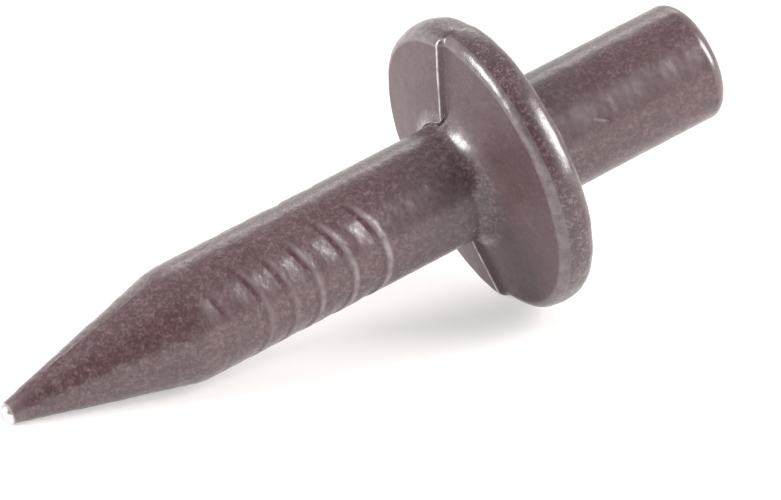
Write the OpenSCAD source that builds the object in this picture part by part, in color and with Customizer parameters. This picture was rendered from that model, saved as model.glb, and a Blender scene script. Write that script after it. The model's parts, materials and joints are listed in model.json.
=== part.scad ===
// Collared drive pin for a powder-actuated tool, lying on its point and the rim of its collar.
// X runs along the pin with the point towards -X, Z is up, and the surface it lies on is Z = 0.
// The pin is drawn along its own axis first, with the end of the point at 0, and then laid down.

/* [Point] */
// Diameter of the blunt end of the point
tip_d = 0.7; // [0.5:0.05:1]
// Radius of the edge round the blunt end
tip_edge_r = 0.12; // [0.05:0.01:0.2]
// Half angle of the cone
point_angle = 14; // [12:0.5:14]
// Radius of the rounded shoulder between the cone and the shank
shoulder_r = 3; // [1:0.5:4]
// Length of the flat trimmed on the upper side of the end
trim_len = 1.7; // [0.5:0.1:2]
// Depth of that flat at the blunt end
trim_depth = 0.12; // [0.05:0.01:0.2]

/* [Shank] */
// Diameter of the shank
shank_d = 3.7; // [3.4:0.1:4.2]
// Length from the end of the point to the front of the collar
shank_len = 16.9; // [16:0.1:30]

/* [Grip marks] */
// Number of marks that each die half leaves
mark_count = 7; // [1:1:7]
// Distance from one mark to the next
mark_pitch = 1.05; // [0.8:0.05:1.1]
// Distance from the front of the collar to the first mark
mark_start = 4.4; // [4:0.1:4.6]
// Depth of the first mark, at its middle
mark_depth = 0.07; // [0.03:0.01:0.08]
// Share of its depth that each mark loses from the one before it
mark_fade = 0.08; // [0:0.01:0.1]
// Lean of a mark's plane from square to the axis
mark_lean = 27; // [15:1:30]

/* [Collar] */
// Diameter of the collar
collar_d = 9.5; // [8:0.1:11]
// Thickness of the collar at its rim
collar_t = 1.25; // [1:0.05:2]
// Rise of the front face from the rim towards the shank, per unit of radius
face_slope = 0.2; // [0.1:0.01:0.25]
// Height by which one die half's side of the front face stands above the other's
step_h = 0.2; // [0.1:0.01:0.3]
// Radius of the fillet between the raised half of the front face and the shank
neck_r = 0.5; // [0.3:0.05:0.6]
// Radius of the rim's front edge
front_edge_r = 0.33; // [0.1:0.01:0.4]
// Radius of the rim's back edge
back_edge_r = 0.45; // [0.1:0.01:0.5]

/* [Driving stub] */
// Diameter of the stub
stub_d = 3.8; // [3.4:0.1:4.2]
// Length of the stub
stub_len = 6.8; // [4:0.1:10]
// Radius of the edge at its free end
stub_edge_r = 0.42; // [0.1:0.01:0.6]
// Radius of the fillet at its root
root_r = 0.2; // [0.05:0.01:0.3]

/* [Hidden] */
$fn = 96;

steel = "#6f5c5e";
collar_steel = "#735f61";

tip_r = tip_d / 2;
shank_r = shank_d / 2;
collar_r = collar_d / 2;
stub_r = stub_d / 2;

// Stations along the axis, counted from the end of the point.
tip_edge = [tip_r - tip_edge_r, tip_edge_r];
shoulder_drop = shoulder_r * (1 - cos(point_angle));
cone_rise = shank_r - shoulder_drop - tip_edge.x - tip_edge_r * cos(point_angle);
cone_start = tip_edge_r * (1 - sin(point_angle));
point_end = cone_start + cone_rise / tan(point_angle) + shoulder_r * sin(point_angle);
trim_angle = atan(tan(point_angle) + trim_depth / trim_len);
collar_front = shank_len;
collar_back = collar_front + collar_t;
stub_end = collar_back + stub_len;

// The front face is a shallow cone that meets the shank in a fillet. The fillets of the two halves
// start together, where the shank ends, so the lower half's fillet is the larger one.
face_tilt = atan(face_slope);
face_x = collar_r - front_edge_r * (1 - sin(face_tilt));
face_y = front_edge_r * (1 - cos(face_tilt));
fillet_share = cos(face_tilt) - face_slope * (1 - sin(face_tilt));
shank_end = collar_front - step_h + face_y - face_slope * (face_x - shank_r) - neck_r * fillet_share;
low_neck_r = neck_r + step_h / fillet_share;

// The pin lies on two rounded edges: the blunt end's and the front edge of the collar's raised half.
rim_edge = [collar_r - front_edge_r, collar_front - step_h + front_edge_r];
rest_span = rim_edge - tip_edge;
lie_angle = atan2(rest_span.x, rest_span.y) + asin((front_edge_r - tip_edge_r) / norm(rest_span));
lift = tip_edge.x * cos(lie_angle) - tip_edge.y * sin(lie_angle) + tip_edge_r;
low_x = tip_edge.y * cos(lie_angle) - tip_edge.x * sin(lie_angle) - tip_edge_r;
stub_edge = [stub_r - stub_edge_r, stub_end - stub_edge_r];
high_x = stub_edge.y * cos(lie_angle) + stub_edge.x * sin(lie_angle) + stub_edge_r;

// A grip mark is a wedge-shaped groove in the shape of a crescent. Its tool is a sector of a ring that
// leans, set off the axis towards the side that the die half holds. So the groove is deepest at its
// middle, and ends mark_reach degrees round the shank from there, with mark_end_share of its depth.
mark_reach = 62;
mark_end_share = 0.3;
mark_wall = 30;
mark_run_out = 10;
mark_tool_h = 0.14;
long_r = shank_r / cos(mark_lean);
mark_end = [long_r * cos(mark_reach), shank_r * sin(mark_reach)];

function arc(centre, r, from, to, steps = 8) =
    [for (i = [0:steps]) let (a = from + (to - from) * i / steps) centre + r * [cos(a), sin(a)]];

// Every outline is half a section of the pin: [radius, distance along the axis].
function point_outline() = concat(
    [[0, 0]],
    arc(tip_edge, tip_edge_r, -90, -point_angle),
    arc([shank_r - shoulder_r, point_end], shoulder_r, -point_angle, 0),
    [[0, point_end]]
);

// Half a section of the collar, where its front face stands `step` above the lower half's.
function collar_outline(step, fillet_r) = concat(
    [[0, shank_end]],
    arc([shank_r + fillet_r, shank_end], fillet_r, 180, 90 + face_tilt),
    arc([collar_r - front_edge_r, collar_front - step + front_edge_r], front_edge_r, face_tilt - 90, 0),
    arc([collar_r - back_edge_r, collar_back - back_edge_r], back_edge_r, 0, 90),
    [[0, collar_back]]
);

function stub_outline() = concat(
    [[0, collar_back]],
    arc([stub_r + root_r, collar_back + root_r], root_r, 270, 180),
    arc(stub_edge, stub_edge_r, 0, 90),
    [[0, stub_end]]
);

// Lays the pin, drawn upwards along Z, down on its point and its collar.
module lying() {
    translate([-(low_x + high_x) / 2, 0, lift])
        rotate([0, 90 - lie_angle, 0])
            children();
}

// The tool for the mark whose middle is `at` along the axis, on the +Y side.
module mark_tool(at, depth) {
    end_r = long_r - depth + depth * mark_end_share;
    offset = (end_r * end_r - mark_end * mark_end) / (2 * (end_r - mark_end.x));
    r = long_r - depth - offset;
    sweep = atan2(mark_end.y, mark_end.x - offset);
    translate([0, 0, at - shank_r * tan(mark_lean)])
        rotate([mark_lean, 0, 0])
            translate([0, offset, 0])
                rotate([0, 0, 90 - sweep])
                    rotate_extrude(angle = 2 * sweep)
                        polygon([
                            [r, 0],
                            [r + mark_tool_h, mark_tool_h * tan(mark_wall)],
                            [r + mark_tool_h, -mark_tool_h / tan(mark_run_out)]
                        ]);
}

module marks() {
    for (i = [0:mark_count - 1], side = [0, 1])
        mirror([0, side, 0])
            mark_tool(collar_front - mark_start - i * mark_pitch, mark_depth * (1 - i * mark_fade));
}

// The flat on the upper side of the blunt end, which runs out into the cone.
module trim() {
    translate([trim_depth - tip_r, 0, 0])
        rotate([0, -trim_angle, 0])
            translate([-trim_len, -trim_len, -trim_len])
                cube([trim_len, 2 * trim_len, 3 * trim_len]);
}

module point() {
    color(steel)
        lying()
            difference() {
                rotate_extrude() polygon(point_outline());
                trim();
            }
}

module shank() {
    color(steel)
        lying()
            difference() {
                translate([0, 0, point_end]) cylinder(h = shank_end - point_end, r = shank_r);
                marks();
            }
}

module collar() {
    color(collar_steel)
        lying() {
            rotate_extrude(angle = 180) polygon(collar_outline(step_h, neck_r));
            mirror([0, 1, 0]) rotate_extrude(angle = 180) polygon(collar_outline(0, low_neck_r));
        }
}

module driving_stub() {
    color(steel) lying() rotate_extrude() polygon(stub_outline());
}

point();
shank();
collar();
driving_stub();
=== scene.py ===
"""The finished looks of a collared drive pin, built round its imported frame.

The pin is one forging in four regions: its point, shank, collar and driving stub. Each region is a
closed shell built round the pin's own axis, which the frame gives. The shank is made by Geometry
Nodes, which cut its grip marks, and the others are made from half sections swept round the axis.
"""
import json
import logging
import math
from collections.abc import Callable
from dataclasses import dataclass, field
from enum import Enum

import bpy
import numpy as np
from bpy.types import ID, Material, Mesh, Node, NodeSocket, NodeTree, Object, World
from mathutils import Matrix, Vector


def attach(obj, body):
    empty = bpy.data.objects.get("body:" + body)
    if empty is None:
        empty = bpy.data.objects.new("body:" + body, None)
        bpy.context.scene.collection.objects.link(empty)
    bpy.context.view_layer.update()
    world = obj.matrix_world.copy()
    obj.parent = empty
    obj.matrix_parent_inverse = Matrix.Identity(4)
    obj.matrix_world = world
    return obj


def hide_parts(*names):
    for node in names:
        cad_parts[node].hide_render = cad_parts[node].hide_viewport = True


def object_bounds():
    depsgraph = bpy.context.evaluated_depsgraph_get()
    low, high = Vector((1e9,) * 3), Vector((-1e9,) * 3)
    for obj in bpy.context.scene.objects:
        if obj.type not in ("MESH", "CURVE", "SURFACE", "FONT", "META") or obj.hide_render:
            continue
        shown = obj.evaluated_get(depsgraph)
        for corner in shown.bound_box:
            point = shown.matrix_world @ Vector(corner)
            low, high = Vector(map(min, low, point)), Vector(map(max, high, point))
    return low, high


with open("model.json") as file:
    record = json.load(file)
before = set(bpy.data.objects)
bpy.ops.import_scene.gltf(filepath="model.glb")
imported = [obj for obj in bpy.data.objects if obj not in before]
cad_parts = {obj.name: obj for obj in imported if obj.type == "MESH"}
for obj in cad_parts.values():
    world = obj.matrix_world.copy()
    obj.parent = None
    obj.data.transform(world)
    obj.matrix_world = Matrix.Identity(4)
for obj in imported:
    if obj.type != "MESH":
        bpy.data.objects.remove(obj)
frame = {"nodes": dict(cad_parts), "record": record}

CAD_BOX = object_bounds()
LOG = logging.getLogger("drive_pin")
Array = np.ndarray
MM = 0.001
QUARTER = math.pi / 2
TURN = 2 * math.pi


class Region(Enum):
    """The pin's four regions, by the names that the frame gives them."""

    POINT = "point"
    SHANK = "shank"
    COLLAR = "collar"
    STUB = "driving_stub"


def smooth(value: Array | float) -> Array:
    """A smooth step from 0 to 1 as the value goes from 0 to 1."""
    t = np.clip(value, 0.0, 1.0)
    return t * t * (3.0 - 2.0 * t)


def new_object(name: str, data: ID) -> Object:
    """Adds an object to the scene, given its name and its data."""
    made = bpy.data.objects.new(name, data)
    bpy.context.scene.collection.objects.link(made)
    return made


# -------- the pin's own axis


@dataclass(frozen=True)
class PinAxis:
    """The pin's axis in the shared frame.

    A place on the pin is its station along the axis from the end of the point, its distance from the
    axis, and its turn round the axis: 0 at the top, a quarter turn on the near half, towards -Y.
    """

    tip: Array
    along: Array
    near: Array
    upper: Array
    spans: dict[Region, tuple[float, float]]
    radii: dict[Region, float]

    @classmethod
    def from_frame(cls) -> "PinAxis":
        """Reads the axis, each region's span along it and each radius from the frame.

        Returns:
            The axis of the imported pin.
        """
        mounts = {mount["name"]: mount for mount in frame["record"]["mounts"]}
        end = np.array(mounts["driven_end"]["pos_m"])
        along = np.array(mounts["driven_end"]["axis"])
        along /= np.linalg.norm(along)
        near = np.array([0.0, -1.0, 0.0])
        reach = {}
        for region in Region:
            corners = np.array([v.co for v in frame["nodes"][region.value].data.vertices])
            stations = (corners - end) @ along
            reach[region] = (stations.min(), stations.max())
        start = reach[Region.POINT][0]
        sized_by = {Region.POINT: "shank", Region.SHANK: "shank", Region.COLLAR: "collar_rim",
                    Region.STUB: "driving_stub"}
        return cls(
            tip=end + start * along,
            along=along,
            near=near,
            upper=np.cross(near, along),
            spans={region: (low - start, high - start) for region, (low, high) in reach.items()},
            radii={region: mounts[name]["dims"]["r_mm"] * MM for region, name in sized_by.items()},
        )

    def place(self, station: Array, radius: Array, turn: Array) -> Array:
        """Places points in the shared frame.

        Args:
            station: distances along the axis from the end of the point.
            radius: distances from the axis.
            turn: angles round the axis, from the top towards the near half.

        Returns:
            The points, with their coordinates in the last dimension.
        """
        out = np.cos(turn)[..., None] * self.upper + np.sin(turn)[..., None] * self.near
        return self.tip + station[..., None] * self.along + radius[..., None] * out

    def matrix(self, station: float) -> Matrix:
        """The placing of something drawn upwards along Z, with X on top and Y on the near half.

        Args:
            station: where its own origin comes on the pin's axis.

        Returns:
            The matrix that takes it to the shared frame.
        """
        turned = np.eye(4)
        turned[:3, 0], turned[:3, 1], turned[:3, 2] = self.upper, self.near, self.along
        turned[:3, 3] = self.tip + station * self.along
        return Matrix(turned.tolist())


# -------- shells round the axis


@dataclass(frozen=True)
class Unevenness:
    """A smooth random relief, as a sum of waves in random directions.

    Its fields are the relief's height, its mean wavelength, and the seed of its directions.
    """

    height: float
    wavelength: float
    seed: int
    waves: int = 24

    def at(self, points: Array) -> Array:
        """The relief's height at each point."""
        rng = np.random.default_rng(self.seed)
        total = np.zeros(points.shape[:-1])
        for _ in range(self.waves):
            way = rng.normal(size=3)
            way /= np.linalg.norm(way)
            rate = TURN / (self.wavelength * rng.uniform(0.6, 1.7))
            total += np.sin(points @ way * rate + rng.uniform(0.0, TURN))
        return self.height * total / math.sqrt(self.waves / 2)


@dataclass(frozen=True)
class Nick:
    """A short scratch: its middle, its length, its tilt from the pin's axis, its width and depth."""

    station: float
    turn: float
    length: float
    tilt: float
    width: float
    depth: float

    def cut(self, station: Array, radius: Array, turn: Array) -> Array:
        """How deep the scratch cuts at each place on the pin."""
        across = (np.mod(turn - self.turn + math.pi, TURN) - math.pi) * radius
        down = station - self.station
        run = down * math.cos(self.tilt) + across * math.sin(self.tilt)
        off = across * math.cos(self.tilt) - down * math.sin(self.tilt)
        bow = 0.25 * run * run / self.length
        wall = np.exp(-(((off - bow) / self.width) ** 2))
        return self.depth * wall * smooth((0.5 - np.abs(run) / self.length) * 6)


def turns_round(quarter: int, crowding: float) -> Array:
    """Angles round the pin, which crowd where the two heading dies met, at the top and bottom.

    Args:
        quarter: the number of steps in a quarter turn.
        crowding: the first step's share of an even step.

    Returns:
        The angles, from 0 up to a full turn without its end.
    """
    even = np.arange(quarter) / quarter
    first = QUARTER * (crowding * even + (1.0 - crowding) * even**3)
    mirrored = math.pi - np.append(first[1:], QUARTER)[::-1]
    half = np.concatenate([first, mirrored])
    return np.concatenate([half, half + math.pi])


def arc(centre: tuple[float, float], r: float, start: float, end: float, steps: int) -> Array:
    """Points on an arc of a half section.

    Args:
        centre: the arc's centre, as its distance from the axis and its station.
        r: the arc's radius.
        start: its first angle in degrees, from straight outwards towards the stub.
        end: its last angle in degrees.
        steps: the number of steps from one to the other.

    Returns:
        One row for each point: its distance from the axis and its station.
    """
    angles = np.radians(np.linspace(start, end, steps + 1))
    return np.stack([centre[0] + r * np.cos(angles), centre[1] + r * np.sin(angles)], axis=1)


def curve(start: Array, corner: Array, end: Array, steps: int) -> Array:
    """Points along a bend of a half section, which rounds off a corner on the way to its end."""
    share = np.linspace(0.0, 1.0, steps + 1)[:, None]
    return start * (1 - share) ** 2 + corner * (2 * share * (1 - share)) + end * share**2


def line(start: Array, end: Array, steps: int) -> Array:
    """The points between two points of a half section, without the two themselves."""
    share = np.linspace(0.0, 1.0, steps + 1)[1:-1, None]
    return start + (end - start) * share


def swept(outline: Array, turns: Array) -> tuple[Array, Array, Array]:
    """Sweeps a half section round the axis.

    Args:
        outline: its points, as their distances from the axis and their stations.
        turns: the angles that it stops at.

    Returns:
        Grids of the stations, the distances and the turns, ring by ring.
    """
    turn = turns[None, :].repeat(len(outline), axis=0)
    radius = outline[:, :1].repeat(len(turns), axis=1)
    station = outline[:, 1:].repeat(len(turns), axis=1)
    return station, radius, turn


def normals_of(points: Array) -> Array:
    """The outward normals of a grid of rings.

    Args:
        points: the grid's points, ring by ring along the pin and round each ring.

    Returns:
        Unit vectors, one for each point.
    """
    around = np.roll(points, -1, axis=1) - np.roll(points, 1, axis=1)
    onwards = np.gradient(points, axis=0)
    out = np.cross(around, onwards)
    return out / np.maximum(np.linalg.norm(out, axis=-1, keepdims=True), 1e-12)


def sharpness_of(points: Array, normals: Array) -> Array:
    """How sharply the surface bulges at each point of a grid.

    Args:
        points: the grid's points.
        normals: their normals.

    Returns:
        The largest outward curvature, per metre, never below 0.
    """
    result = np.zeros(points.shape[:2])
    for axis in (0, 1):
        bulge = np.zeros(points.shape[:2])
        for way in (-1, 1):
            other = np.roll(points, way, axis=axis)
            if axis == 0:
                edge = 0 if way == 1 else -1
                other[edge] = points[edge]
            step = points - other
            length = np.maximum((step**2).sum(-1), 1e-14)
            bulge += (step * normals).sum(-1) / length
        result = np.maximum(result, bulge)
    return result


@dataclass
class Shell:
    """A closed shell round the pin's axis, as grids of its points' stations, radii and turns.

    Its edges are rubbed bright from one curvature, per metre, and fully bright from the other.
    """

    region: Region
    axis: PinAxis
    station: Array
    radius: Array
    turn: Array
    sharp_from: float = 1.0 / (0.8 * MM)
    sharp_full: float = 1.0 / (0.14 * MM)

    def build(self, relief: Callable[[Array], Array]) -> Object:
        """Makes the shell's mesh.

        Args:
            relief: gives the height to add to each point, along its normal, and takes the points.

        Returns:
            The new object, with an `edge_wear` mask that is 1 on the sharpest edges of its form.
        """
        points = self.axis.place(self.station, self.radius, self.turn)
        normals = normals_of(points)
        sharp = sharpness_of(points, normals)
        wear = smooth((sharp - self.sharp_from) / (self.sharp_full - self.sharp_from))
        points = points + normals * relief(points)[..., None]
        rings, count = self.station.shape
        ends = [self.axis.tip + self.station[row].mean() * self.axis.along for row in (0, -1)]
        corners = np.concatenate([points.reshape(-1, 3), ends])
        ring = np.arange(rings - 1)[:, None] * count
        here = np.arange(count)[None, :]
        ahead = np.roll(here, -1, axis=1)
        quads = np.stack([ring + here, ring + ahead, ring + count + ahead, ring + count + here], -1)
        last = (rings - 1) * count
        faces = [tuple(face) for face in quads.reshape(-1, 4).tolist()]
        pairs = list(zip(here[0].tolist(), ahead[0].tolist()))
        faces += [(rings * count, b, a) for a, b in pairs]
        faces += [(rings * count + 1, last + a, last + b) for a, b in pairs]
        name = f"{self.region.value}_skin"
        mesh = bpy.data.meshes.new(name)
        mesh.from_pydata(corners.tolist(), [], faces)
        add_mask(mesh, "edge_wear", wear)
        finish_normals(mesh)
        return new_object(name, mesh)


def add_mask(mesh: Mesh, name: str, values: Array) -> None:
    """Gives a shell's mesh a mask that its material reads.

    Args:
        mesh: the mesh, whose last two points are the middles of its ends.
        name: the mask's name.
        values: a grid of values from 0 to 1, one for each point of its rings.
    """
    ends = [values[0, 0], values[-1, 0]]
    mask = mesh.attributes.new(name, "FLOAT", "POINT")
    mask.data.foreach_set("value", np.append(values.ravel(), ends).astype(np.float32))


def finish_normals(mesh: Mesh, crease: float = 50.0) -> None:
    """Shades a mesh smooth, except across edges sharper than the crease, in degrees."""
    mesh.shade_smooth()
    mesh.set_sharp_from_angle(angle=math.radians(crease))
    mesh.update()


def fade_at_ends(station: Array, reach: float) -> Array:
    """1 along a region, falling to 0 at its first and last ring, so that it meets its neighbours."""
    low, high = station.min(), station.max()
    return smooth((station - low) / reach) * smooth((high - station) / reach)


# -------- finishes


@dataclass(frozen=True)
class SteelFinish:
    """Heat-treated steel under a thin dark oxide, which is glossy, and bare where it is rubbed.

    Attributes:
        name: the material's name.
        oxide: the colour of the oxide's body, under its gloss.
        deep: the same where it is thickest.
        bare: the colour of steel that has lost its oxide.
        index: the oxide's index of refraction, which sets how strongly its gloss mirrors.
        grain_mm: the size of its fine mottling.
        patch_mm: the size of its patches.
        mottle: how strongly the fine mottling shows, from 0 to 1.
        bare_specks: how bare the steel is at its lightest specks, from 0 to 1.
        roughness: its roughness where it is neither mottled nor hazy.
        relief_um: the height of its fine relief, in micrometres.
        face_haze: how much rougher its smooth faces are, which hold the oil.
    """

    name: str
    oxide: tuple[float, float, float]
    deep: tuple[float, float, float]
    bare: tuple[float, float, float]
    index: float = 1.8
    grain_mm: float = 0.085
    patch_mm: float = 1.1
    mottle: float = 0.8
    bare_specks: float = 0.26
    roughness: float = 0.27
    relief_um: float = 6.0
    face_haze: float = 0.26


PIN_STEEL = SteelFinish(
    name="pin_steel_scaled",
    oxide=(0.094, 0.042, 0.046),
    deep=(0.030, 0.007, 0.009),
    bare=(0.62, 0.57, 0.58),
    mottle=0.66,
    bare_specks=0.22,
)
COLLAR_STEEL = SteelFinish(
    name="collar_steel_oily",
    oxide=(0.074, 0.031, 0.035),
    deep=(0.026, 0.006, 0.008),
    bare=(0.66, 0.64, 0.65),
)
GROUND_STEEL = (0.78, 0.74, 0.76, 1.0)
THINNEST, THICKNESS_SWING = 0.40, 0.30      # shares of the deep colour
GRAIN_GLOSS, RUBBED_GLOSS = 0.10, -0.10     # changes of roughness
SMOOTH_SHARE = 0.75                         # how much less mottled a smooth face is
BREAK_UP = 0.5                              # how much of the rubbing is broken up


class Graph:
    """Adds and joins the nodes of one node tree, column by column."""

    def __init__(self, tree: NodeTree) -> None:
        """Starts on a tree, which may already hold nodes."""
        self.tree = tree
        self.count = 0

    def add(self, kind: str, inputs: dict | None = None, **settings: object) -> Node:
        """Adds one node.

        Args:
            kind: the node's type name.
            inputs: what goes into its sockets, by name or number: a value or another socket.
            settings: its own settings.

        Returns:
            The node.
        """
        node = self.tree.nodes.new(kind)
        node.location = (220 * (self.count % 12), -260 * (self.count // 12))
        self.count += 1
        for key, value in settings.items():
            setattr(node, key, value)
        for key, value in (inputs or {}).items():
            if isinstance(value, NodeSocket):
                self.tree.links.new(value, node.inputs[key])
            else:
                node.inputs[key].default_value = value
        return node

    def maths(self, operation: str, *values: object) -> NodeSocket:
        """The result of a Math node, given its operation and its inputs in order."""
        inputs = dict(enumerate(values))
        return self.add("ShaderNodeMath", inputs, operation=operation).outputs[0]

    def ramp(self, value: object, low: float, high: float, start: float = 0.0, end: float = 1.0,
             kind: str = "SMOOTHSTEP") -> NodeSocket:
        """A value remapped from one range to another and held inside it."""
        inputs = {0: value, 1: low, 2: high, 3: start, 4: end}
        return self.add("ShaderNodeMapRange", inputs, interpolation_type=kind).outputs[0]

    def product(self, first: object, *others: object) -> NodeSocket:
        """The product of two or more values, multiplied from left to right."""
        for value in others:
            first = self.maths("MULTIPLY", first, value)
        return first

    def rest(self, share: object) -> NodeSocket:
        """What a share leaves of 1."""
        return self.maths("SUBTRACT", 1.0, share)

    def noise(self, scale: object, detail: float, inputs: dict, **settings: object) -> NodeSocket:
        """A noise's value, given its scale, its detail, its other inputs and its settings."""
        inputs = {"Scale": scale, "Detail": detail, **inputs}
        return self.add("ShaderNodeTexNoise", inputs, **settings).outputs[0]

    def mask(self, name: str) -> NodeSocket:
        """A mask that the mesh carries, by its name."""
        return self.add("ShaderNodeAttribute", attribute_name=name).outputs["Fac"]

    def along(self, look: NodeSocket, way: Vector) -> NodeSocket:
        """How far a direction points along a given way, from -1 to 1."""
        inputs = {0: look, 1: tuple(way)}
        return self.add("ShaderNodeVectorMath", inputs, operation="DOT_PRODUCT").outputs["Value"]

    def blend(self, share: object, first: object, second: object) -> NodeSocket:
        """A mix of two colours, given the second one's share."""
        node = self.add("ShaderNodeMix", {0: share, 6: first, 7: second}, data_type="RGBA")
        return node.outputs[2]


def graph_of(owner: Material | World) -> Graph:
    """Empties the node tree of a material or a world, and starts a graph on it."""
    owner.use_nodes = True
    owner.node_tree.nodes.clear()
    return Graph(owner.node_tree)


def socket(tree: NodeTree, name: str, kind: str, way: str = "INPUT") -> None:
    """Adds a named input or output to a node group."""
    tree.interface.new_socket(name, in_out=way, socket_type=f"NodeSocket{kind}")


def scale_group() -> NodeTree:
    """The fine mottling of heat scale on forged steel, which both steels share.

    Returns:
        A group whose outputs are masks, from 0 to 1, and a height.
    """
    tree = bpy.data.node_groups.new("heat_scale", "ShaderNodeTree")
    socket(tree, "Vector", "Vector")
    socket(tree, "Grain per metre", "Float")
    socket(tree, "Patches per metre", "Float")
    for name in ("Grain", "Specks", "Patches", "Height"):
        socket(tree, name, "Float", "OUTPUT")
    graph = Graph(tree)
    where, fine, coarse = graph.add("NodeGroupInput").outputs[:3]
    grain = graph.noise(fine, 5.0, {"Vector": where, "Roughness": 0.78})
    flake = graph.noise(graph.product(fine, 0.37), 4.0, {"Vector": where, "Roughness": 0.58})
    patch = graph.noise(coarse, 3.0, {"Vector": where, "Roughness": 0.5})
    height = graph.maths("ADD", graph.product(grain, 0.7), graph.product(flake, 0.3))
    graph.add("NodeGroupOutput", {
        "Grain": graph.ramp(height, 0.38, 0.62),
        "Specks": graph.ramp(height, 0.48, 0.66),
        "Patches": graph.ramp(patch, 0.36, 0.64),
        "Height": height,
    })
    return tree


def wear_group() -> NodeTree:
    """Where rubbing has bared the steel: on sharp edges, broken up by a fine noise. On the shank the mask
    also paints a sheen, stronger on its near and far sides.

    Returns:
        A group that reads the `edge_wear` mask and puts out another.
    """
    tree = bpy.data.node_groups.new("rubbed_edges", "ShaderNodeTree")
    socket(tree, "Vector", "Vector")
    socket(tree, "Worn", "Float", "OUTPUT")
    graph = Graph(tree)
    where = graph.add("NodeGroupInput").outputs["Vector"]
    broken = graph.ramp(graph.noise(3000.0, 2.0, {"Vector": where}), 0.35, 0.65)
    kept = graph.rest(graph.product(broken, BREAK_UP))
    graph.add("NodeGroupOutput", {"Worn": graph.product(graph.mask("edge_wear"), kept)})
    return tree


@dataclass
class SteelShop:
    """Makes the materials, from two shared node groups."""

    scale: NodeTree = field(default_factory=scale_group)
    wear: NodeTree = field(default_factory=wear_group)

    def material(self, finish: SteelFinish) -> Material:
        """Makes one steel.

        Args:
            finish: its colours, mottling, relief and gloss.

        Returns:
            The material.
        """
        made = bpy.data.materials.new(finish.name)
        graph = graph_of(made)
        where = graph.add("ShaderNodeTexCoord").outputs["Object"]
        scale = graph.add("ShaderNodeGroup", {
            "Vector": where,
            "Grain per metre": 1.0 / (finish.grain_mm * MM),
            "Patches per metre": 1.0 / (finish.patch_mm * MM),
        }, node_tree=self.scale).outputs
        worn = graph.add("ShaderNodeGroup", {"Vector": where}, node_tree=self.wear).outputs["Worn"]
        smoothed, ground = graph.mask("smooth_face"), graph.mask("ground_end")
        amount = graph.product(graph.rest(graph.product(smoothed, SMOOTH_SHARE)), finish.mottle)
        thick = graph.maths("MULTIPLY_ADD", scale["Patches"], THICKNESS_SWING, THINNEST)
        dark = graph.rest(scale["Grain"])
        depth = graph.add("ShaderNodeMix", {0: amount, 2: thick, 3: dark}).outputs[0]
        mottled = graph.blend(depth, (*finish.oxide, 1), (*finish.deep, 1))
        specks = graph.product(scale["Specks"], amount, finish.bare_specks)
        bare = graph.maths("MAXIMUM", worn, specks)
        oxidised = graph.blend(bare, mottled, (*finish.bare, 1))
        colour = graph.blend(ground, oxidised, GROUND_STEEL)
        swing = graph.ramp(scale["Grain"], 0.0, 1.0, GRAIN_GLOSS, -GRAIN_GLOSS, "LINEAR")
        swung = graph.maths("MULTIPLY_ADD", swing, amount, finish.roughness)
        rubbed = graph.maths("MULTIPLY_ADD", worn, RUBBED_GLOSS, swung)
        gloss = graph.maths("MULTIPLY_ADD", smoothed, finish.face_haze, rubbed)
        bump = graph.add("ShaderNodeBump", {"Height": graph.product(scale["Height"], amount),
                                            "Strength": 1.0, "Distance": finish.relief_um * 1e-6})
        surface = graph.add("ShaderNodeBsdfPrincipled", {
            "Base Color": colour,
            "Metallic": graph.maths("MAXIMUM", bare, ground),
            "Roughness": gloss,
            "IOR": finish.index,
            "Normal": bump.outputs[0],
        })
        graph.add("ShaderNodeOutputMaterial", {"Surface": surface.outputs[0]})
        return made


# -------- the point


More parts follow.
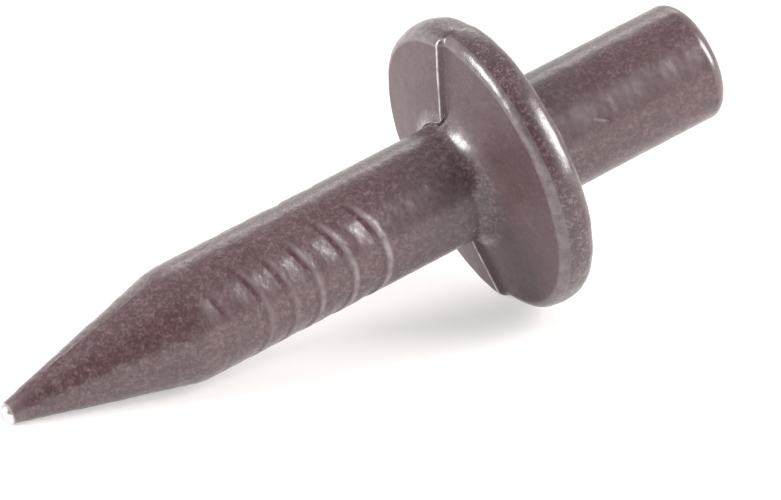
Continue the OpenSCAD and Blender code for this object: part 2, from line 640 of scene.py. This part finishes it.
@dataclass
class Point:
    """The cone with its blunt end, the flat trimmed on it and the seam that the dies left on it.

    The seam's rise and its fall each give where it starts and the length that it takes. `jag` is how
    unevenly the seam stands. The end is ground bare over `bare_len`.
    """

    axis: PinAxis
    tip_r: float = 0.35 * MM
    tip_edge_r: float = 0.28 * MM
    half_angle: float = 14.0
    shoulder_r: float = 3.0 * MM
    trim_len: float = 1.7 * MM
    trim_depth: float = 0.05 * MM
    seam_height: float = 0.020 * MM
    seam_width: float = 0.07 * MM
    seam_rise: tuple[float, float] = (0.9 * MM, 0.8 * MM)
    seam_fall: tuple[float, float] = (0.5 * MM, 1.2 * MM)
    bare_len: float = 0.16 * MM
    bare_fade: float = 0.1 * MM
    broad: Unevenness = Unevenness(0.005 * MM, 1.4 * MM, seed=11)
    fine: Unevenness = Unevenness(0.0028 * MM, 0.33 * MM, seed=12)
    jag: Unevenness = Unevenness(0.45, 0.5 * MM, seed=13)
    nicks: tuple[Nick, ...] = (
        Nick(3.9 * MM, 0.82, 0.9 * MM, 1.15, 0.03 * MM, 0.014 * MM),
        Nick(4.9 * MM, 0.45, 0.5 * MM, 0.35, 0.035 * MM, 0.016 * MM),
        Nick(2.3 * MM, 0.25, 0.7 * MM, 0.15, 0.03 * MM, 0.018 * MM),
        Nick(5.6 * MM, 1.9, 0.4 * MM, 0.9, 0.03 * MM, 0.010 * MM),
    )

    def outline(self) -> Array:
        """The half section, from the middle of the blunt end to the shank."""
        end = self.axis.spans[Region.POINT][1]
        shank_r = self.axis.radii[Region.SHANK]
        flat = np.stack([np.linspace(0.3, 0.98, 5) * (self.tip_r - self.tip_edge_r),
                         np.zeros(5)], axis=1)
        edge = arc((self.tip_r - self.tip_edge_r, self.tip_edge_r), self.tip_edge_r,
                   -90, -self.half_angle, 14)
        shoulder = arc((shank_r - self.shoulder_r, end), self.shoulder_r, -self.half_angle, 0, 24)
        cone = line(edge[-1], shoulder[0], 150)
        return np.concatenate([flat, edge, cone, shoulder])

    def trimmed(self, station: Array, radius: Array, turn: Array) -> Array:
        """The radii, cut back to the flat on the upper side of the blunt end."""
        slope = math.tan(math.radians(self.half_angle)) + self.trim_depth / self.trim_len
        height = self.tip_r - self.trim_depth + station * slope
        facing = np.cos(turn)
        limit = np.where(facing > 0.05, height / np.maximum(facing, 0.05), 1.0)
        soft = 0.02 * MM
        over = radius - limit
        return radius - 0.5 * (over + np.sqrt(over * over + soft * soft))

    def build(self) -> Object:
        """Makes the point's shell.

        Returns:
            The new object.
        """
        station, radius, turn = swept(self.outline(), turns_round(96, 0.25))
        radius = self.trimmed(station, radius, turn)
        across = radius * np.sin(turn)
        (start, rise), (stop, fall) = self.seam_rise, self.seam_fall
        end = self.axis.spans[Region.POINT][1]
        run = smooth((station - start) / rise) * smooth((end - stop - station) / fall)
        seam = np.exp(-((across / self.seam_width) ** 2)) * run

        def relief(points: Array) -> Array:
            """The seam, the forging's unevenness and the scratches."""
            height = (self.broad.at(points) + self.fine.at(points)) * fade_at_ends(station, 0.35 * MM)
            height += self.seam_height * seam * np.clip(0.75 + self.jag.at(points), 0.15, 1.4)
            for nick in self.nicks:
                height -= nick.cut(station, radius, turn)
            return height

        piece = Shell(Region.POINT, self.axis, station, radius, turn).build(relief)
        blunt = smooth(1.0 - (station - self.bare_len) / self.bare_fade)
        add_mask(piece.data, "ground_end", blunt)
        return piece


# -------- the shank


@dataclass
class Shank:
    """The round shank, with the crescent grip marks of both die halves, made by Geometry Nodes.

    A mark has a steep wall with a lip along it and a longer run-out. The marks lean, and away from
    the collar they fade and are unevenly crowded. `strengths` and `starts` are a weak and a strong
    mark's strength, and how far round each starts. `bumps` holds each layer of unevenness: its waves
    per metre, its detail, its seed and its height.
    """

    axis: PinAxis
    count: int = 7
    pitch: float = 1.05 * MM
    first: float = 4.4 * MM
    crowd: float = 0.3 * MM
    depth: float = 0.042 * MM
    fade: float = 0.11
    lean: float = 27.0
    wall: float = 0.12 * MM
    run: float = 0.50 * MM
    lip: float = 0.008 * MM
    strengths: tuple[float, float] = (0.75, 1.15)
    starts: tuple[float, float] = (0.42, 0.26)
    growth: float = 0.42
    lip_reach: float = 1.6
    bumps: tuple[tuple[float, ...], ...] = ((900.0, 3.0, 2.5, 0.008 * MM), (3800.0, 2.0, 7.5, 0.005 * MM))
    end_fade: float = 0.4 * MM
    seed: int = 5
    around: int = 300
    rings: int = 300

    def tree(self, inputs: dict[str, float], steel: Material) -> NodeTree:
        """Builds the node tree that makes the shank, upwards along Z from its own middle.

        Args:
            inputs: its inputs' values, by name. A whole number makes a whole-number input.
            steel: the material that the tree sets.

        Returns:
            The tree.
        """
        tree = bpy.data.node_groups.new("grip_marked_shank", "GeometryNodeTree")
        for name, value in inputs.items():
            socket(tree, name, "Int" if isinstance(value, int) else "Float")
        socket(tree, "Geometry", "Geometry", "OUTPUT")
        graph = Graph(tree)
        given = graph.add("NodeGroupInput").outputs
        half = graph.product(given["Length"], 0.5)
        wall = graph.add("GeometryNodeMeshCylinder", {
            "Vertices": given["Sides"], "Side Segments": given["Rings"],
            "Radius": given["Radius"], "Depth": given["Length"]}, fill_type="TRIANGLE_FAN")
        spot = graph.add("GeometryNodeInputPosition").outputs[0]
        across, up = graph.add("ShaderNodeSeparateXYZ", {0: spot}).outputs[1:]
        from_head = graph.maths("SUBTRACT", given["Head Station"], up)
        side = graph.maths("DIVIDE", graph.maths("ABSOLUTE", across), given["Radius"])
        setback = graph.product(given["Radius"], given["Lean Slope"], graph.rest(side))
        level = graph.maths("SUBTRACT", from_head, setback)
        entry = graph.add("GeometryNodeRepeatInput")
        leave = graph.add("GeometryNodeRepeatOutput")
        entry.pair_with_output(leave)
        leave.repeat_items.clear()
        leave.repeat_items.new("FLOAT", "Cut")
        tree.links.new(given["Marks"], entry.inputs["Iterations"])
        index = entry.outputs["Iteration"]
        label = graph.maths("MULTIPLY_ADD", index, 2.0, graph.maths("SIGN", across))
        chance = graph.add("FunctionNodeRandomValue", {"ID": label, "Seed": given["Seed"]},
                           data_type="FLOAT").outputs[1]
        wave = graph.rest(graph.maths("COSINE", graph.product(index, QUARTER)))
        shift = graph.product(given["Mark Crowding"], 0.5, wave)
        even = graph.maths("MULTIPLY_ADD", index, given["Mark Pitch"], given["First Mark"])
        past = graph.maths("SUBTRACT", level, graph.maths("ADD", even, shift))
        rise = graph.ramp(graph.maths("DIVIDE", past, given["Wall Width"]), 0.0, 1.0)
        tail = graph.maths("SUBTRACT", past, given["Wall Width"])
        fall = graph.ramp(graph.maths("DIVIDE", tail, given["Run-out"]), 0.0, 1.0, 1.0, 0.0, "LINEAR")
        loss = graph.rest(graph.product(index, given["Mark Fade"]))
        spread = graph.ramp(chance, 0.0, 1.0, *self.strengths, "LINEAR")
        starts = graph.ramp(chance, 0.0, 1.0, *self.starts, "LINEAR")
        reach = graph.ramp(graph.maths("SUBTRACT", side, starts), 0.0, self.growth)
        size = graph.product(loss, spread, reach)
        cut = graph.product(rise, fall, graph.product(size, given["Mark Depth"]))
        ahead = graph.maths("ADD", past, given["Wall Width"])
        off_lip = graph.maths("ABSOLUTE", graph.maths("DIVIDE", ahead, given["Wall Width"]))
        ridge = graph.ramp(off_lip, 0.0, self.lip_reach, 1.0, 0.0)
        both = graph.maths("SUBTRACT", cut, graph.product(ridge, size, given["Lip"]))
        total = graph.maths("ADD", entry.outputs["Cut"], both)
        tree.links.new(total, leave.inputs["Cut"])
        grooves = leave.outputs["Cut"]
        bumps = []
        for scale, detail, w, height in self.bumps:
            noise = graph.noise(scale, detail, {"W": w}, noise_dimensions="4D")
            bumps.append(graph.ramp(noise, 0.25, 0.75, -height, height, "LINEAR"))
        ends = graph.maths("SUBTRACT", half, graph.maths("ABSOLUTE", up))
        grown = graph.product(graph.maths("ADD", *bumps), graph.ramp(ends, 0.0, self.end_fade))
        flat = graph.add("ShaderNodeVectorMath", {0: spot, 1: (1.0, 1.0, 0.0)}, operation="MULTIPLY")
        out = graph.add("ShaderNodeVectorMath", {0: flat.outputs[0]}, operation="NORMALIZE")
        offset = graph.add("ShaderNodeVectorMath", {
            0: out.outputs[0], "Scale": graph.maths("SUBTRACT", grown, grooves)}, operation="SCALE")
        moved = graph.add("GeometryNodeSetPosition", {"Geometry": wall.outputs["Mesh"],
                                                      "Offset": offset.outputs[0]})
        lipped = graph.ramp(graph.product(grooves, -1.0), 0.0005 * MM, 0.010 * MM, 0.0, 0.4)
        # The lips' bare steel is real rubbing, but its weighting towards the near and far sides is a
        # painted sheen where the table's reflection falls.
        rubbed = graph.product(lipped, graph.ramp(side, 0.4, 0.85, 0.25, 1.0))
        stored = graph.add("GeometryNodeStoreNamedAttribute", {
            "Geometry": moved.outputs[0], "Name": "edge_wear", "Value": rubbed},
            data_type="FLOAT", domain="POINT")
        single = graph.add("GeometryNodeRealizeInstances", {"Geometry": stored.outputs[0]})
        dressed = graph.add("GeometryNodeSetMaterial", {"Geometry": single.outputs[0],
                                                        "Material": steel})
        graph.add("NodeGroupOutput", {"Geometry": dressed.outputs[0]})
        return tree

    def build(self, steel: Material) -> Object:
        """Makes the shank's shell.

        Args:
            steel: its material.

        Returns:
            The new object.
        """
        low, high = self.axis.spans[Region.SHANK]
        front = self.axis.spans[Region.COLLAR][0] + self.neck_length()
        values = {
            "Radius": self.axis.radii[Region.SHANK],
            "Length": high - low,
            "Head Station": front - (low + high) / 2,
            "Mark Pitch": self.pitch,
            "First Mark": self.first,
            "Mark Crowding": self.crowd,
            "Mark Depth": self.depth,
            "Mark Fade": self.fade,
            "Lean Slope": math.tan(math.radians(self.lean)),
            "Wall Width": self.wall,
            "Run-out": self.run,
            "Lip": self.lip,
            "Marks": self.count,
            "Seed": self.seed,
            "Sides": self.around,
            "Rings": self.rings,
        }
        maker = new_object("shank_maker", bpy.data.meshes.new("shank_maker"))
        modifier = maker.modifiers.new("marks", "NODES")
        modifier.node_group = self.tree(values, steel)
        for item in modifier.node_group.interface.items_tree:
            if item.in_out == "INPUT":
                modifier[item.identifier] = values[item.name]
        bpy.context.view_layer.update()
        evaluated = maker.evaluated_get(bpy.context.evaluated_depsgraph_get())
        mesh = bpy.data.meshes.new_from_object(evaluated)
        maker.modifiers.remove(modifier)
        bpy.data.objects.remove(maker)
        mesh.name = "shank_skin"
        mesh.transform(self.axis.matrix((low + high) / 2))
        finish_normals(mesh)
        return new_object("shank_skin", mesh)

    def neck_length(self) -> float:
        """How far the collar's rim starts behind the end of the shank."""
        low, high = self.axis.spans[Region.COLLAR]
        return high - low - Collar.thickness


# -------- the collar


@dataclass
class Collar:
    """The wide round collar. The far die half's side of its front face stands a step above the near.

    Its neck is a dished fillet, which spreads further from the shank on the near half. Most of the
    step is a pad. `face_rim` and `face_start` bound the smooth face: each is a place and a width.
    """

    axis: PinAxis
    thickness: float = 1.25 * MM
    slope: float = 0.2
    step: float = 0.2 * MM
    near_neck: float = 1.25 * MM
    far_neck: float = 0.22 * MM
    neck_blend: float = 0.6 * MM
    front_edge_r: float = 0.37 * MM
    back_edge_r: float = 0.45 * MM
    crown_r: float = 1.2 * MM
    wall_width: float = 0.16 * MM
    pad_start: float = 2.08 * MM
    pad_corner: float = 0.45 * MM
    bevel_width: float = 0.22 * MM
    pad_share: float = 0.85
    face_rim: tuple[float, float] = (0.22 * MM, 0.2 * MM)
    face_start: tuple[float, float] = (2.1 * MM, 0.3 * MM)
    broad: Unevenness = Unevenness(0.006 * MM, 1.8 * MM, seed=21)
    fine: Unevenness = Unevenness(0.0022 * MM, 0.45 * MM, seed=22)

    def crown(self, step: float) -> tuple[float, float]:
        """The rim's crowned band, between its two edges.

        Args:
            step: how far this half's front stands above the lower half's.

        Returns:
            Half its sweep in degrees, and the station of its middle.
        """
        back = self.axis.spans[Region.COLLAR][1]
        straight = self.thickness + step - self.front_edge_r - self.back_edge_r
        share = straight / (2 * self.crown_r - self.front_edge_r - self.back_edge_r)
        middle = back - self.back_edge_r - (self.crown_r - self.back_edge_r) * share
        return math.degrees(math.asin(share)), middle

    def front(self, step: float, reach: float) -> Array:
        """The half section of one half's front, from the shank to the band of its rim.

        Args:
            step: how far the half stands above the lower one.
            reach: how far its neck spreads out from the shank.

        Returns:
            Points, which match the other half's one by one.
        """
        start, back = self.axis.spans[Region.COLLAR]
        rim_r, shank_r = self.axis.radii[Region.COLLAR], self.axis.radii[Region.SHANK]
        tilt = math.degrees(math.atan(self.slope))
        front = back - self.thickness - step
        sweep, middle = self.crown(step)
        lean = math.radians(sweep)
        inset = self.crown_r * (1 - math.cos(lean))
        front_r = rim_r - inset - self.front_edge_r * math.cos(lean)
        edge = arc((front_r, front + self.front_edge_r), self.front_edge_r, tilt - 90, -sweep, 20)
        corner = np.array([shank_r, edge[0][1] - self.slope * (edge[0][0] - shank_r)])
        outer = corner + reach * np.array([1.0, self.slope])
        neck = curve(np.array([shank_r, start]), corner, outer, 24)
        face = line(neck[-1], edge[0], 100)
        band = arc((rim_r - self.crown_r, middle), self.crown_r, -sweep, sweep, 16)[1:]
        back_r = rim_r - inset - self.back_edge_r * math.cos(lean)
        rear = arc((back_r, back - self.back_edge_r), self.back_edge_r, sweep, 90, 20)[1:]
        return np.concatenate([neck, face, edge, band, rear])

    def raised(self, radius: Array, turn: Array) -> Array:
        """How far each place on the front stands up towards the raised half, as a share of the step.

        Most of the step is a pad with a bevel round it, which ends short of the shank.

        Args:
            radius: distances from the axis, one for each ring.
            turn: angles round the axis, one for each column.

        Returns:
            Shares from 0 to 1.
        """
        beyond = -radius * np.sin(turn)
        corner = self.pad_corner
        short = np.maximum(corner - (beyond - 0.5 * self.bevel_width), 0.0)
        low = np.maximum(corner - (radius - self.pad_start), 0.0)
        inside = corner - np.hypot(short, low)
        wall = smooth(0.5 + beyond / self.wall_width)
        bevel = smooth(0.5 + inside / self.bevel_width)
        return wall * (1.0 - self.pad_share) + bevel * self.pad_share

    def build(self) -> Object:
        """Makes the collar's shell, with a `smooth_face` mask that is 1 on its front face.

        Returns:
            The new object.
        """
        near = self.front(0.0, self.near_neck)
        far = self.front(0.0, self.far_neck)
        high = self.front(self.step, self.far_neck)
        turn = turns_round(100, 0.16)[None, :]
        middle = 0.5 * (near[:, :1] + high[:, :1])
        share = self.raised(middle, turn)[..., None]
        side = smooth(0.5 - middle * np.sin(turn) / self.neck_blend)[..., None]
        low = near[:, None, :] * (1 - side) + far[:, None, :] * side
        rings = low * (1 - share) + high[:, None, :] * share
        last = self.axis.spans[Region.COLLAR][1]
        inwards = np.linspace(1.0, 0.02, 14)[1:, None]
        radius = np.concatenate([rings[..., 0], rings[-1:, :, 0] * inwards])
        station = np.concatenate([rings[..., 1], np.full((len(inwards), turn.shape[1]), last)])
        turn = turn.repeat(len(radius), axis=0)
        rim_r = self.axis.radii[Region.COLLAR]

        def relief(points: Array) -> Array:
            """The forging's unevenness, which leaves the shank's end and the stub's root alone."""
            height = self.broad.at(points) + self.fine.at(points)
            near_shank = smooth((station - station.min()) / (0.5 * MM))
            at_back = smooth((last - station) / (0.2 * MM))
            rim = smooth((radius - 2.6 * MM) / (0.6 * MM))
            return height * near_shank * np.maximum(at_back, rim)

        piece = Shell(Region.COLLAR, self.axis, station, radius, turn).build(relief)
        (margin, outer), (start, inner) = self.face_rim, self.face_start
        face = smooth((rim_r - margin - radius) / outer) * smooth((radius - start) / inner)
        on_front = smooth((last - 0.9 * MM - station) / (0.1 * MM))
        add_mask(piece.data, "smooth_face", face * on_front)
        return piece


# -------- the driving stub


@dataclass
class DrivingStub:
    """The plain round stub behind the collar, which the tool's piston drives."""

    axis: PinAxis
    edge_r: float = 0.42 * MM
    root_r: float = 0.2 * MM
    broad: Unevenness = Unevenness(0.003 * MM, 1.6 * MM, seed=31)
    fine: Unevenness = Unevenness(0.0012 * MM, 0.4 * MM, seed=32)
    nicks: tuple[Nick, ...] = (
        Nick(20.6 * MM, 1.2, 0.6 * MM, 0.5, 0.04 * MM, 0.012 * MM),
        Nick(23.2 * MM, 2.0, 0.5 * MM, 1.2, 0.04 * MM, 0.010 * MM),
    )

    def outline(self) -> Array:
        """The half section, from the collar's back to the middle of the free end."""
        start, end = self.axis.spans[Region.STUB]
        r = self.axis.radii[Region.STUB]
        root = arc((r + self.root_r, start + self.root_r), self.root_r, 270, 180, 12)
        edge = arc((r - self.edge_r, end - self.edge_r), self.edge_r, 0, 90, 22)
        wall = line(root[-1], edge[0], 130)
        face = np.stack([np.linspace(1.0, 0.02, 18)[1:] * edge[-1][0], np.full(17, end)], axis=1)
        return np.concatenate([root, wall, edge, face])

    def build(self) -> Object:
        """Makes the stub's shell.

        Returns:
            The new object.
        """
        station, radius, turn = swept(self.outline(), turns_round(80, 0.6))
        start, end = self.axis.spans[Region.STUB]

        def relief(points: Array) -> Array:
            """The forging's unevenness and the scratches."""
            at_end = smooth((end - station) / (0.1 * MM))
            height = self.broad.at(points) * at_end + self.fine.at(points)
            height *= smooth((station - start) / (0.5 * MM))
            for nick in self.nicks:
                height -= nick.cut(station, radius, turn)
            return height

        return Shell(Region.STUB, self.axis, station, radius, turn).build(relief)


# -------- the studio


@dataclass(frozen=True)
class Softbox:
    """A softbox: its name, its direction from the pin, its width and height in metres, its level."""

    name: str
    way: tuple[float, float, float]
    size: tuple[float, float]
    level: float


def aim(piece: Object, way: Vector, place: Vector) -> None:
    """Puts a camera or a lamp at a place, where it looks back against the way given."""
    piece.rotation_mode = "QUATERNION"
    piece.rotation_quaternion = (-way).to_track_quat("-Z", "Y")
    piece.location = place


@dataclass
class Studio:
    """A white table in soft light, and the camera.

    Attributes:
        azimuth: the camera's direction from the pin, in degrees; 0 looks along +Y.
        elevation: its height above the horizon, in degrees.
        view_width: how wide the view is at the pin's middle.
        right: how far the middle of the view lies to the right of the pin's middle.
        below: how far it lies below.
        lens: its focal length, in millimetres.
        sensor: its sensor's width, in millimetres.
        overhead: how bright the room is.
        backdrop: how bright it is low down behind the pin.
        room: how much of it is left behind the camera.
        behind: how far round to the far side the backdrop starts, and is full.
        low: the height where it starts, and is full, from 0 at the horizon to 1 overhead.
        front: how far round to the camera the room starts to dim, and is dimmest.
        softbox: how bright a softbox of level 1 is, where the lit table is about 1.
        distance: how far away the softboxes hang, in metres.
        table_glow: how brightly the table glows by itself.
    """

    azimuth: float = -31.0
    elevation: float = 24.0
    view_width: float = 23.39 * MM
    right: float = 0.97 * MM
    below: float = 1.65 * MM
    lens: float = 400.0
    sensor: float = 36.0
    overhead: float = 0.70
    backdrop: float = 1.15
    room: float = 0.45
    behind: tuple[float, float] = (0.15, 0.75)
    low: tuple[float, float] = (0.62, 0.42)
    front: tuple[float, float] = (0.55, 0.95)
    softbox: float = 11.0
    softboxes: tuple[Softbox, ...] = (
        Softbox("softbox_left", (-0.90, 0.24, 0.38), (0.24, 0.36), 1.5),
        Softbox("softbox_right", (0.64, -0.58, 0.50), (0.24, 0.40), 1.4),
        Softbox("softbox_back", (0.35, 0.75, 0.60), (0.30, 0.16), 0.2),
    )
    distance: float = 0.6
    table_glow: float = 0.46

    def facing(self) -> tuple[Vector, Vector, Vector]:
        """The camera's right, its up, and the direction from the pin back to it."""
        a, e = math.radians(self.azimuth), math.radians(self.elevation)
        back = Vector((math.sin(a) * math.cos(e), -math.cos(a) * math.cos(e), math.sin(e)))
        right = Vector((math.cos(a), math.sin(a), 0.0))
        return right, back.cross(right), back

    def camera(self) -> None:
        """Makes the camera, with a long lens, where it frames the pin."""
        right, up, back = self.facing()
        middle = (CAD_BOX[0] + CAD_BOX[1]) / 2
        target = middle + right * self.right - up * self.below
        data = bpy.data.cameras.new("camera")
        data.lens, data.sensor_width = self.lens, self.sensor
        data.clip_start, data.clip_end = 0.01, 20.0
        camera = new_object("camera", data)
        aim(camera, back, target + back * (self.view_width * self.lens / self.sensor))
        bpy.context.scene.camera = camera

    def floor(self) -> None:
        """Makes the table, a white sheet that is lit from below as well."""
        half = 3.0
        data = bpy.data.meshes.new("table")
        data.from_pydata([(-half, -half, 0), (half, -half, 0), (half, half, 0), (-half, half, 0)],
                         [], [(0, 1, 2, 3)])
        white = bpy.data.materials.new("table_white")
        graph = graph_of(white)
        paper = graph.add("ShaderNodeBsdfPrincipled", {
            "Base Color": (0.58, 0.55, 0.54, 1),
            "Roughness": 1.0,
            "Specular IOR Level": 0.0,
            "Emission Color": (1.0, 0.985, 0.98, 1),
            "Emission Strength": self.table_glow,
        })
        graph.add("ShaderNodeOutputMaterial", {"Surface": paper.outputs[0]})
        data.materials.append(white)
        new_object("table", data)

    def hang(self, box: Softbox) -> None:
        """Hangs one softbox, which faces the pin."""
        data = bpy.data.lights.new(box.name, "AREA")
        data.shape = "RECTANGLE"
        data.size, data.size_y = box.size
        data.energy = math.pi * box.size[0] * box.size[1] * (box.level * self.softbox)
        way = Vector(box.way).normalized()
        aim(new_object(box.name, data), way, way * self.distance)

    def sky(self) -> None:
        """Lights the room: soft all round, darker behind the camera, brighter low behind the pin."""
        back = self.facing()[2]
        away = Vector((-back.x, -back.y, 0)).normalized()
        world = bpy.data.worlds.new("studio")
        bpy.context.scene.world = world
        graph = graph_of(world)
        look = graph.add("ShaderNodeTexCoord").outputs["Generated"]
        height = graph.add("ShaderNodeSeparateXYZ", {0: look}).outputs[2]
        behind = graph.ramp(graph.along(look, away), *self.behind)
        share = graph.product(behind, graph.ramp(height, *self.low))
        lit = graph.maths("MULTIPLY_ADD", share, self.backdrop - self.overhead, self.overhead)
        front = graph.ramp(graph.along(look, back), *self.front, 1.0, self.room)
        level = graph.product(lit, front)
        shade = graph.add("ShaderNodeBackground", {"Color": (1.0, 0.995, 0.99, 1), "Strength": level})
        graph.add("ShaderNodeOutputWorld", {"Surface": shade.outputs[0]})

    def build(self) -> None:
        """Sets up the table, the lights and the camera."""
        self.camera()
        self.floor()
        self.sky()
        for box in self.softboxes:
            self.hang(box)
        bpy.context.scene.view_settings.view_transform = "Standard"


# -------- the pin


def settle(piece: Object, region: Region,
           steel: Material) -> None:
    """Dresses a finished piece and ties it to the frame.

    Args:
        piece: the piece.
        region: the region that it stands for.
        steel: its material.
    """
    piece.data.materials.clear()
    piece.data.materials.append(steel)
    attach(piece, "root")
    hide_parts(region.value)
    LOG.info("%s: %d faces", piece.name, len(piece.data.polygons))


def main() -> None:
    """Builds the studio and the pin's four regions."""
    logging.basicConfig(level=logging.INFO, format="%(name)s: %(message)s")
    Studio().build()
    axis = PinAxis.from_frame()
    shop = SteelShop()
    pin_steel = shop.material(PIN_STEEL)
    collar_steel = shop.material(COLLAR_STEEL)
    settle(Point(axis).build(), Region.POINT, pin_steel)
    settle(Shank(axis).build(pin_steel), Region.SHANK, pin_steel)
    settle(Collar(axis).build(), Region.COLLAR, collar_steel)
    settle(DrivingStub(axis).build(), Region.STUB, pin_steel)


if __name__ == "__main__":
    main()
